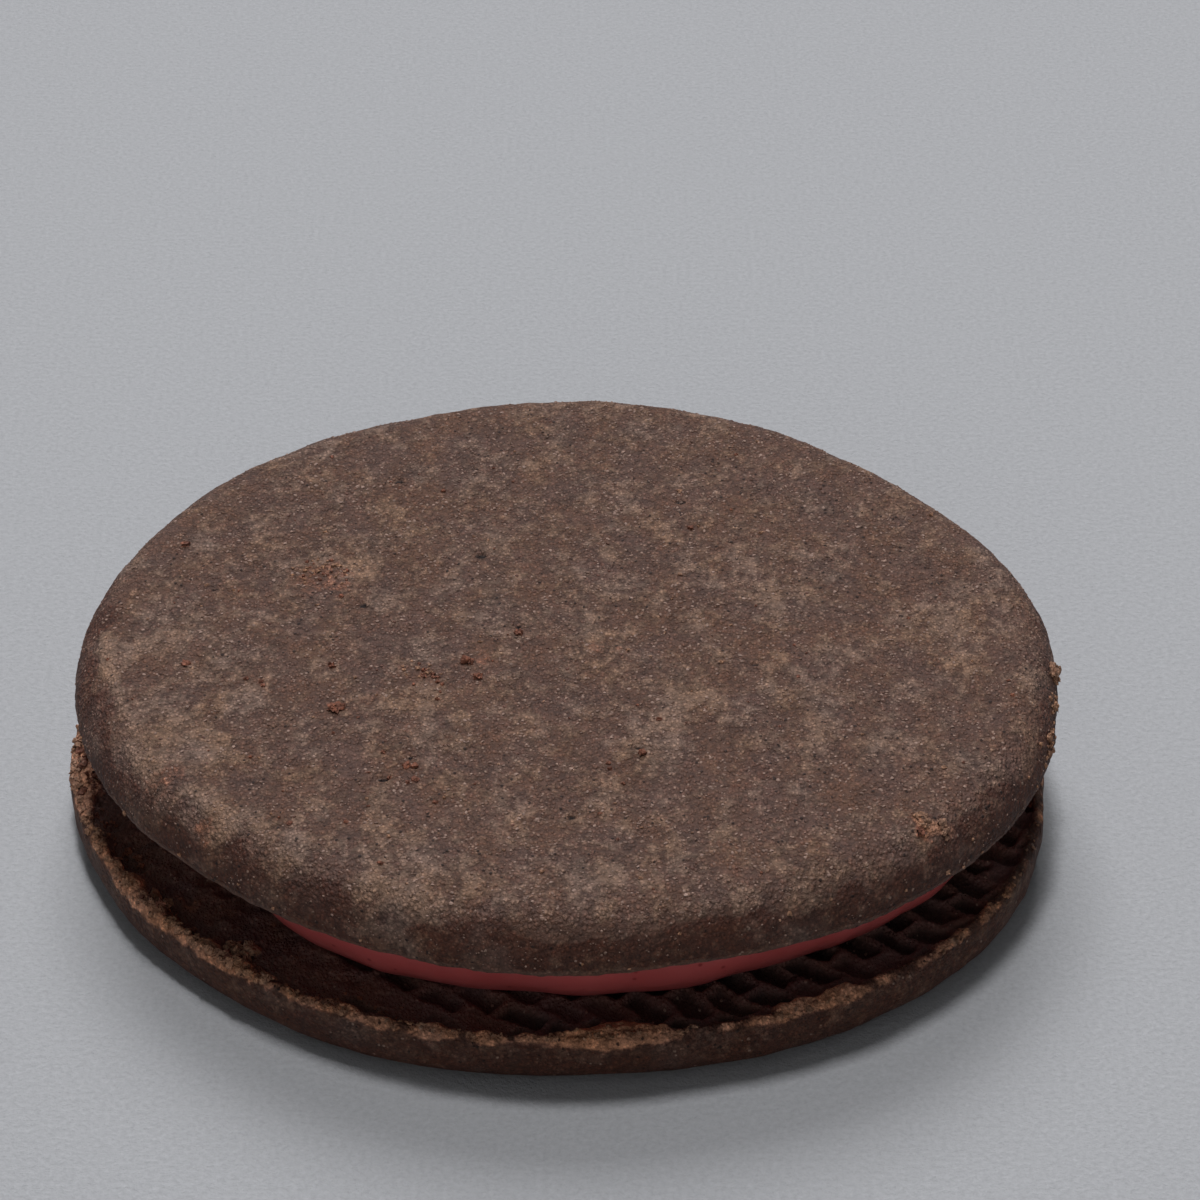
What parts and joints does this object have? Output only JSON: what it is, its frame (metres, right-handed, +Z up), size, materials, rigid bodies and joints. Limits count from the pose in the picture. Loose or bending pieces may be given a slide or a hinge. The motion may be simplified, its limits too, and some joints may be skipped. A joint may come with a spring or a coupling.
{
  "type": "chocolate sandwich cookie",
  "caption": "Round chocolate sandwich cookie: dark cocoa biscuits, domed sides outward, with a layer of pink cream between them, set back from the rims.",
  "frame": {"origin": "middle of the cookie's outline, on the surface that it lies on", "axes": "+Z up through both biscuits, +Y towards the back of the shown view, +X to its right"},
  "size_m": [0.067, 0.0664, 0.0139],
  "materials": {
    "cocoa_biscuit": "dry baked dough, matte, fine grained",
    "cocoa_biscuit_under": "dry baked dough, matte, darker",
    "pink_cream": "smooth set cream, satin"
  },
  "bodies": {
    "root": {"lower_biscuit": "cocoa_biscuit_under", "cream": "pink_cream", "upper_biscuit": "cocoa_biscuit"}
  },
  "joints": []
}
